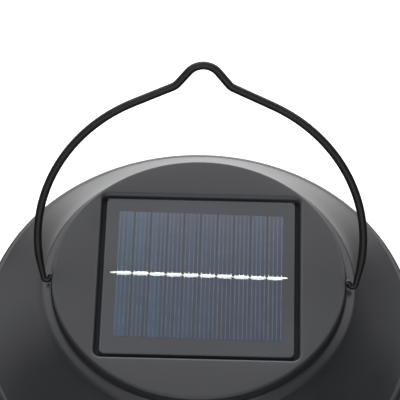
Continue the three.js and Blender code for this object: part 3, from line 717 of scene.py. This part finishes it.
def half_handle():
    """The right half of the wire's centre line, upright, from the crown of the notch to its tail."""
    flank, arm = CROWN["flank"], CROWN["arm"]
    middle = CROWN["top"] - CROWN["radius"]
    arm_angle = math.atan2(ARCH["rise"], ARCH["half"] * math.tan(arm))
    crown = arc(0, middle, CROWN["radius"], CROWN["radius"], 90, 90 - math.degrees(flank), 10)
    flank_way = Vector((math.cos(flank), -math.sin(flank)))
    arm_way = Vector((math.cos(arm), -math.sin(arm)))
    leg_way = Vector((ARCH["half"] * math.sin(LEG), -ARCH["rise"] * math.cos(LEG)))
    kink = crossing(crown[-1], flank_way, on_arch(arm_angle), arm_way)
    elbow = crossing(on_arch(LEG), leg_way, Vector((0, -TAIL["elbow_depth"])), Vector((1, 0)))
    tail = Vector((TAIL["corner"], 0))
    end = Vector((TAIL["end"], 0))
    steps = 60
    arch = [on_arch(arm_angle + (LEG - arm_angle) * i / steps) for i in range(steps + 1)]
    path = crown + corner_arc(crown[-1], kink, arch[0], CROWN["kink"]) + arch
    path += corner_arc(arch[-1], elbow, tail, TAIL["elbow"])
    path += corner_arc(elbow, tail, end, TAIL["bend"])
    return path + [end]


def wire_radius(height):
    """The wire is thinner at its tail, where it goes into the hinge hole."""
    part = (height - TAIL["taper_foot"]) / (TAIL["taper_top"] - TAIL["taper_foot"])
    return TAIL["wire"] + (WIRE - TAIL["wire"]) * min(1, max(0, part))


def handle():
    """The whole wire: two mirrored halves, leaning back."""
    right = half_handle()
    flat = [Vector((-x, s)) for x, s in reversed(right)] + right[1:]
    lean = [(PLAY + x, s * math.sin(LEAN), HINGE + s * math.cos(LEAN)) for x, s in flat]
    return tube("wire_handle", lean, [wire_radius(s) for x, s in flat], 28)


place(handle(), WIRE_BLACK, "bail", "wire_black", "bail_handle")

# ---------------------------------------------------------------- plate under the cap
PLATE_THICKNESS = 2.2
PLATE_TOP = PLATE_BOTTOM + PLATE_THICKNESS
RING_GAP = 0.4
RING_WALL = 1.5
RING_HEIGHT = 3.0
LENS_WALL = 2.0
POST_RING = 54.9
SWITCH_MIDDLE = (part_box("switch_button")[0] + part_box("switch_button")[1]) / 2 / MM
SCREW_SEAT = 1.2  # depth of the round seat of a screw's head
SCREW_HOLE = 3.1
SWITCH_HOLE = 4.5


def ring_walls():
    """Radii of the two rings that hold an end of the clear cylinder."""
    outer = LENS_RADIUS + RING_GAP
    inner = LENS_RADIUS - LENS_WALL - RING_GAP
    return inner - RING_WALL, inner, outer, outer + RING_WALL


def underplate():
    """The cap's closing plate, with rings for the clear cylinder and a collar for the lamp holder."""
    within, inner, outer, beyond = ring_walls()
    ring_foot = PLATE_BOTTOM - RING_HEIGHT
    edge = 0.35
    collar = 15.0
    collar_top = PLATE_TOP + 5
    hole = 12.9
    middle = 40
    outline = [
        (middle, PLATE_BOTTOM), (within, PLATE_BOTTOM), (within, ring_foot, edge), (inner, ring_foot, edge),
        (inner, PLATE_BOTTOM), (outer, PLATE_BOTTOM), (outer, ring_foot, edge), (beyond, ring_foot, edge),
        (beyond, PLATE_BOTTOM, edge), (PLATE_RADIUS, PLATE_BOTTOM, 0.4), (PLATE_RADIUS, PLATE_TOP, 0.3),
        (collar, PLATE_TOP), (collar, collar_top, edge), (hole, collar_top, edge), (hole, PLATE_BOTTOM),
        (middle, PLATE_BOTTOM),
    ]
    plate = lathe("cap_closing_plate", rounded(outline))
    cutters = []
    for i in range(4):
        x, y = on_ring(BOSS_RING, 90 * i)
        cutters.append(drill(x, y, SCREW_HOLE, PLATE_BOTTOM - 1, PLATE_BOTTOM + SCREW_SEAT))
    cutters.append(drill(SWITCH_MIDDLE.x, SWITCH_MIDDLE.y, SWITCH_HOLE, PLATE_BOTTOM - 1, PLATE_TOP + 1))
    return carve(plate, cutters)


def screw(index):
    """A pan-head screw, head down, with a cross recess."""
    x, y = on_ring(BOSS_RING, 90 * index)
    top = PLATE_BOTTOM + SCREW_SEAT - HAIR
    head = top - 1.9
    radius, shank = 2.8, 1.1
    outline = [(0, head), (1.9, head + 0.05, 0.3), (radius, head + 0.8, 0.5), (radius, top, 0.1),
               (shank, top), (shank, top + 9), (0, top + 10)]
    piece = lathe(f"plate_screw_{index + 1}", rounded(outline), x, y, SMALL_ROUND)
    bars = [rounded_box("bar", size, (x, y, head + 0.3), 0.05) for size in ((2.6, 0.5, 1.4), (0.5, 2.6, 1.4))]
    return carve(piece, bars)


place(underplate(), PLASTIC, "root", "cap_plastic", "cap_underplate")
for i in range(4):
    place(screw(i), STEEL, "root", "steel", f"underplate_screw_{i + 1}")

# ---------------------------------------------------------------- switch button
def switch_button():
    """The rubber button in the plate's hole, with a narrow stem that reaches up into the switch."""
    bottom = low("switch_button").z
    top = high("switch_button").z
    shoulder = PLATE_TOP + HAIR - 1.9
    radius, stem = 4, 2
    outline = [(0, bottom + 0.5), (2.2, bottom + 0.35, 0.6), (2.9, bottom, 0.3), (radius, bottom, 0.9),
               (radius, shoulder, 0.2), (stem, shoulder), (stem, top), (0, top)]
    return lathe("push_button", rounded(outline), SWITCH_MIDDLE.x, SWITCH_MIDDLE.y, SMALL_ROUND)


place(switch_button(), RUBBER, "button", "rubber_black", "switch_button")

# ---------------------------------------------------------------- lamp
HOLDER = 12.6
BORE = 10.2
HOLDER_LOW = low("lamp_holder").z
HOLDER_HIGH = high("lamp_holder").z
CAPLET_LOW = low("bulb_cap").z
CAPLET_HIGH = high("bulb_cap").z
GLOBE = high("bulb_globe").x
GLOBE_MIDDLE = low("bulb_globe").z + GLOBE
NECK_TOP = high("bulb_globe").z
BULB_NECK = 8.6
BULB_WALL = 1.2


def lamp_holder():
    """The socket, which hangs below the plate by its flange."""
    flange = PLATE_BOTTOM - HAIR
    rim = 16
    bore_top = CAPLET_HIGH + 1.5
    outline = [(0, HOLDER_HIGH), (HOLDER, HOLDER_HIGH, 0.6), (HOLDER, flange), (rim, flange, 0.3),
               (rim, flange - 2, 0.8), (HOLDER + 1.4, flange - 4, 1.5), (HOLDER + 0.6, HOLDER_LOW + 2, 1.0),
               (HOLDER - 0.2, HOLDER_LOW, 0.5), (BORE, HOLDER_LOW, 0.3), (BORE, bore_top), (0, bore_top)]
    return lathe("lamp_socket", rounded(outline), segments=96)


def bulb_caplet():
    """The lamp's metal cap, with a rolled round thread and a contact in its middle."""
    outer = BORE - 0.3
    wall = BULB_NECK + 0.3
    contact = 2.5
    turns = 4
    steps = 56
    start = CAPLET_LOW + 3
    end = CAPLET_HIGH - 3.5
    thread = []
    for i in range(steps + 1):
        part = i / steps
        wave = math.cos(2 * math.pi * turns * part)
        thread.append((outer - 0.35 + 0.35 * wave, start + (end - start) * part))
    outline = [(wall, CAPLET_LOW), (outer, CAPLET_LOW, 0.2)] + thread
    outline += [(outer - 3, CAPLET_HIGH - 1, 0.5), (contact, CAPLET_HIGH - 1, 0.2),
                (contact, CAPLET_HIGH, 0.5), (0, CAPLET_HIGH)]
    inner = [(0, CAPLET_HIGH - 2), (outer - 3.4, CAPLET_HIGH - 2, 0.5), (wall, CAPLET_HIGH - 4.5, 0.3),
             (wall, CAPLET_LOW)]
    return lathe("lamp_metal_cap", rounded(outline) + rounded(inner), segments=96)


def globe_side(inset):
    """A ball that is drawn up into a neck."""
    ball = GLOBE - inset
    neck = BULB_NECK - inset
    waist = 36  # degrees above the middle, where the ball turns into the neck
    sine, cosine = math.sin(math.radians(waist)), math.cos(math.radians(waist))
    on_ball = Vector((ball * cosine, GLOBE_MIDDLE + ball * sine))
    control = (neck, GLOBE_MIDDLE + (ball - neck * cosine) / sine)
    side = arc(0, GLOBE_MIDDLE, ball, ball, -90, waist, 40)
    return side + bend(on_ball, control, (neck, CAPLET_LOW), 20)[1:]


def bulb_globe():
    """The bulb's clear envelope, open at its neck."""
    outside = globe_side(0) + [Vector((BULB_NECK, NECK_TOP)), Vector((BULB_NECK - BULB_WALL, NECK_TOP))]
    return lathe("lamp_globe", outside + list(reversed(globe_side(BULB_WALL))), segments=128)


MOUNT_TOP = high("led_filament_1").z + 1
MOUNT_LOW = low("led_filament_1").z - 1


def bulb_stem():
    """The clear mount inside the bulb, with a small plate at each end of the filaments."""
    top = NECK_TOP - 1
    plug, rod, upper, lower = 7.1, 0.8, 6.3, 9.6
    outline = [(0, top), (plug, top, 0.3), (plug, top - 2, 1.2), (2.6, top - 12, 3),
               (2.2, MOUNT_TOP + 2.6, 0.5), (upper, MOUNT_TOP + 1.2, 0.5), (upper, MOUNT_TOP + 0.2, 0.3),
               (rod, MOUNT_TOP, 0.4), (rod, MOUNT_LOW + 0.4, 0.4), (lower, MOUNT_LOW, 0.3),
               (lower, MOUNT_LOW - 0.8, 0.3), (0, MOUNT_LOW - 0.9)]
    return lathe("lamp_stem", rounded(outline), segments=64)


def filament(index):
    """An LED filament: a phosphor-coated rod with a metal tag at each end."""
    turn = 45 + 90 * index
    top = Vector((*on_ring(5.6, turn), MOUNT_TOP - 0.6))
    foot = Vector((*on_ring(8.8, turn), MOUNT_LOW + 0.6))
    way = (foot - top).normalized()
    bare = way * 2
    tag = way * 2.4
    rod = dress(tube("rod", [top + bare, (top + foot) / 2, foot - bare], 0.75, 16), PHOSPHOR)
    ends = [[top, top + tag], [foot - tag, foot]]
    tags = [dress(tube("tag", path, 0.32, 10), STEEL) for path in ends]
    return combine(f"lamp_filament_{index + 1}", [rod] + tags)


place(lamp_holder(), PLASTIC, "root", "cap_plastic", "lamp_holder")
place(bulb_caplet(), BRASS, "root", "brass", "bulb_cap")
place(bulb_globe(), BULB, "root", "clear_plastic", "bulb_globe")
place(bulb_stem(), BULB, "root", "clear_plastic", "bulb_stem")
for i in range(4):
    place(filament(i), None, "root", "filament_yellow", f"led_filament_{i + 1}")

# ---------------------------------------------------------------- clear cylinder, posts and base
lens = ring_piece("clear_cylinder", LENS_RADIUS - LENS_WALL, LENS_RADIUS, LENS_LOW, LENS_HIGH, 0.4)
place(lens, CLEAR, "root", "clear_plastic", "lens_tube")


def cage_post(index):
    """A steel post with a collar and a thread at each end."""
    x, y = on_ring(POST_RING, 45 + 90 * index)
    bottom = low("cage_post_1").z
    top = high("cage_post_1").z
    roof = PLATE_BOTTOM - HAIR
    rod, collar, thread = 1.8, 2.7, 1.5
    neck = rod + 0.4
    outline = [
        (0, bottom), (thread, bottom, 0.3), (thread, DECK), (collar, DECK, 0.15), (collar, DECK + 1.6, 0.5),
        (neck, DECK + 2.2, 0.3), (rod, DECK + 3.4, 0.8), (rod, roof - 3.4, 0.8), (neck, roof - 2.2, 0.3),
        (collar, roof - 1.6, 0.5), (collar, roof, 0.15), (thread, roof), (thread, top, 0.3), (0, top),
    ]
    return lathe(f"upright_{index + 1}", rounded(outline), x, y, SMALL_ROUND)


def base_dish():
    """The base, with rings for the clear cylinder above and a seat for its cover below."""
    within, inner, outer, beyond = ring_walls()
    deck = DECK - HAIR
    deck_under = deck - 2.4
    rise = deck + RING_HEIGHT
    edge = 0.35
    hollow = 58.4
    cover_gap = high("base_cover").x + 0.3
    cover_seat = high("base_cover").z + HAIR
    outline = [
        (0, deck), (within, deck, 0.3), (within, rise, edge), (inner, rise, edge), (inner, deck),
        (outer, deck), (outer, rise, edge), (beyond, rise, edge), (beyond, deck, 0.5),
        (BASE_RADIUS, deck, 4.0), (BASE_RADIUS - 0.4, FOOT_HEIGHT, 0.5), (cover_gap, FOOT_HEIGHT, 0.2),
        (cover_gap, cover_seat), (hollow, cover_seat), (hollow, deck_under), (0, deck_under),
    ]
    return lathe("base_tray", rounded(outline), segments=320)


def base_cover():
    """The flat lid under the base, with a shallow groove near its rim."""
    radius = high("base_cover").x
    top = high("base_cover").z
    bottom = low("base_cover").z
    groove_outer, groove_inner, groove_top = 54, 52.8, bottom + 0.5
    outline = [
        (0, top), (radius, top, 0.3), (radius, bottom, 0.5), (groove_outer, bottom, 0.2),
        (groove_outer, groove_top, 0.2), (groove_inner, groove_top, 0.2), (groove_inner, bottom, 0.2),
        (0, bottom),
    ]
    return lathe("base_lid", rounded(outline))


def rubber_foot(index):
    """A low round foot, narrower where it meets the ground."""
    node = f"rubber_foot_{index + 1}"
    middle = (low(node) + high(node)) / 2
    radius = (high(node) - low(node)).x / 2
    top = FOOT_HEIGHT - HAIR
    outline = [(0, 0), (radius - 2.2, 0, 0.1), (radius - 0.1, 0, 0.8), (radius, top, 0.2), (0, top)]
    return lathe(f"foot_{index + 1}", rounded(outline), middle.x, middle.y, SMALL_ROUND)


for i in range(4):
    place(cage_post(i), WIRE_BLACK, "root", "wire_black", f"cage_post_{i + 1}")
place(base_dish(), PLASTIC, "root", "cap_plastic", "base_dish")
place(base_cover(), PLASTIC, "root", "cap_plastic", "base_cover")
for i in range(3):
    place(rubber_foot(i), RUBBER, "root", "rubber_black", f"rubber_foot_{i + 1}")

# ---------------------------------------------------------------- CAD nodes that keep their shape
KEPT = {
    RUBBER: ["bezel_seal", "underplate_seal", "lens_seal_top", "lens_seal_bottom", "panel_adhesive_pad"],
    BACKING: ["panel_board"],
    STEEL: ["battery_contact", "battery_spring", "filter_capacitor"] + [f"post_nut_{i}" for i in range(1, 5)],
    MASK_GREEN: ["circuit_board"],
    WRAP: ["battery_cell"],
    MOULDING: ["battery_cradle", "driver_chip", "switch_body"],
    COPPER: ["charge_inductor"],
    LEAD_RED: ["panel_lead_red"],
    LEAD_BLACK: ["panel_lead_black"],
}
for material, names in KEPT.items():
    for name in names:
        dress(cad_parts[name], material)

# ---------------------------------------------------------------- floor, light and camera
def slope(tree, source, span, values):
    """A smooth change from one value to another along a direction."""
    ease = tree.nodes.new("ShaderNodeMapRange")
    ease.interpolation_type = "SMOOTHSTEP"
    ease.inputs["From Min"].default_value = span[0]
    ease.inputs["From Max"].default_value = span[1]
    ease.inputs["To Min"].default_value = values[0]
    ease.inputs["To Max"].default_value = values[1]
    tree.links.new(source, ease.inputs["Value"])
    return ease.outputs["Result"]


def floor():
    """A pale floor. It is left out of reflections and bounced light, so it doesn't light the lantern."""
    reach = 4000
    verts = [(-reach, -reach, 0), (reach, -reach, 0), (reach, reach, 0), (-reach, reach, 0)]
    piece = make_object("floor", verts, [(0, 1, 2, 3)])
    material, tree, shader = node_tree("floor_pale")
    shader.inputs["Specular IOR Level"].default_value = 0.2
    shades(tree, noise_node(tree, 2), (0.9, 0.9, 0.9), (0.92, 0.92, 0.92), shader.inputs["Base Color"])
    shader.inputs["Roughness"].default_value = 0.7
    shader.inputs["Emission Color"].default_value = (1, 1, 1, 1)
    shader.inputs["Emission Strength"].default_value = 0.75
    dress(piece, material)
    piece.visible_glossy = False
    piece.visible_diffuse = False


# Soft lights of the studio: where each one is, the angles in degrees from its middle at which it
# starts to fade and is gone, and how bright it is.
LIGHTS = [
    ((-0.1, 0.61, 0.79), (15, 44), 0.78),
    ((-0.64, 0.6, 0.48), (5, 30), 1.5),
    ((0.64, 0.6, 0.48), (5, 30), 1.7),
    ((-0.85, 0.5, -0.1), (5, 30), 0.6),
    ((0.8, 0.6, -0.05), (5, 30), 0.16),
    ((0, 1, 0.1), (5, 35), 3.4),
    ((0, 0.79, -0.61), (5, 35), 1.6),
    ((0, -0.8, 0.6), (15, 55), 1.4),
    ((-1, -0.2, 0.25), (5, 40), 0.1),
]
WALLS = 0.06  # brightness of the studio between its lights


def soft_light(tree, direction, middle, reach, strength):
    """A round patch of the sky that fades out towards its edge."""
    towards = tree.nodes.new("ShaderNodeVectorMath")
    towards.operation = "DOT_PRODUCT"
    towards.inputs[1].default_value = Vector(middle).normalized()
    tree.links.new(direction, towards.inputs[0])
    span = [math.cos(math.radians(angle)) for angle in reversed(reach)]
    return slope(tree, towards.outputs["Value"], span, (0, strength))


def sky():
    """The studio round the lantern: dim walls with soft lights on them. The camera sees it white."""
    world = bpy.data.worlds.new("studio")
    bpy.context.scene.world = world
    world.use_nodes = True
    tree = world.node_tree
    background = tree.nodes["Background"]
    coords = tree.nodes.new("ShaderNodeTexCoord")
    total = None
    for middle, reach, strength in LIGHTS:
        patch = soft_light(tree, coords.outputs["Generated"], middle, reach, strength)
        add = tree.nodes.new("ShaderNodeMath")
        add.inputs[0].default_value = WALLS
        if total is not None:
            tree.links.new(total, add.inputs[0])
        tree.links.new(patch, add.inputs[1])
        total = add.outputs["Value"]
    seen = tree.nodes.new("ShaderNodeLightPath")
    pick = tree.nodes.new("ShaderNodeMix")
    pick.data_type = "FLOAT"
    pick.inputs[3].default_value = 1.0
    tree.links.new(seen.outputs["Is Camera Ray"], pick.inputs[0])
    tree.links.new(total, pick.inputs[2])
    tree.links.new(pick.outputs[0], background.inputs["Strength"])
    background.inputs["Color"].default_value = (1, 1, 1, 1)


def overhead():
    """A wide soft light from above, which keeps the floor white."""
    lamp = bpy.data.lights.new("overhead", "SUN")
    lamp.energy = 0.4
    lamp.angle = math.radians(60)
    piece = bpy.data.objects.new("overhead", lamp)
    piece.rotation_euler = (math.radians(-12), math.radians(-8), 0)
    bpy.context.scene.collection.objects.link(piece)


def camera():
    """Looks down at the cap from the front, a little to the right."""
    azimuth = math.radians(1.1)
    elevation = math.radians(52.25)
    roll = math.radians(0.45)
    distance = 986.4
    target = Matrix.Rotation(azimuth, 3, "Z") @ Vector((0.23, 32.5, 0)) + Vector((0, 0, DISC_TOP))
    back = Vector((math.sin(azimuth) * math.cos(elevation), -math.cos(azimuth) * math.cos(elevation),
                   math.sin(elevation)))
    right = Vector((math.cos(azimuth), math.sin(azimuth), 0))
    up = back.cross(right)
    turned_right = right * math.cos(roll) + up * math.sin(roll)
    turned_up = up * math.cos(roll) - right * math.sin(roll)
    view = bpy.data.cameras.new("camera")
    view.lens = 257.15
    view.sensor_width = 36
    view.clip_start = 0.05
    view.clip_end = 50
    piece = bpy.data.objects.new("camera", view)
    axes = Matrix((turned_right, turned_up, back)).transposed().to_4x4()
    piece.matrix_world = Matrix.Translation((target + back * distance) * MM) @ axes
    bpy.context.scene.collection.objects.link(piece)
    bpy.context.scene.camera = piece


floor()
sky()
overhead()
camera()
bpy.context.scene.view_settings.view_transform = "Standard"
